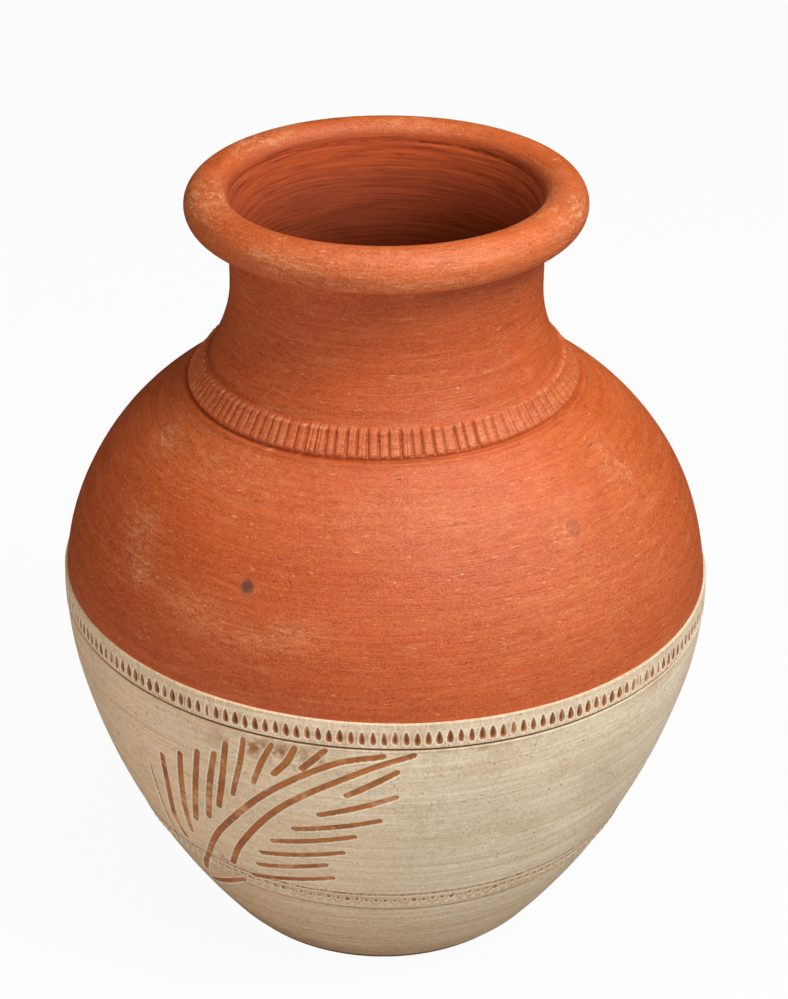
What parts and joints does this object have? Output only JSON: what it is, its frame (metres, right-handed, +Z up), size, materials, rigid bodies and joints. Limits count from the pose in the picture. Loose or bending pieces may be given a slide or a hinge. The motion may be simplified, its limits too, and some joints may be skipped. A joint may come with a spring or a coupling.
{
  "type": "clay water pot",
  "caption": "Free-standing terracotta water pot with rolled rim, waisted neck, pressed clay bands and a cream slip coat with a scraped palm frond on its lower half.",
  "frame": {"origin": "middle of the base, at the level that the pot stands on", "axes": "+Z up along the pot's axis; -Y is the front, seen in the picture, with the palm frond to the left of it"},
  "size_m": [0.3018, 0.3018, 0.367],
  "materials": {
    "red_wash": "matt red-ochre wash on terracotta",
    "bare_clay": "matt bare terracotta",
    "cream_slip": "matt wiped cream slip"
  },
  "bodies": {
    "root": {"base_disc": "bare_clay", "foot_wall": "bare_clay", "belly_wall": "bare_clay", "shoulder_wall": "red_wash", "neck_wall": "red_wash", "rim_coil": "red_wash", "collar_band": "red_wash", "waist_band": "cream_slip", "lower_band": "cream_slip", "slip_coat_belly": "cream_slip", "slip_coat_foot": "cream_slip"}
  },
  "joints": []
}
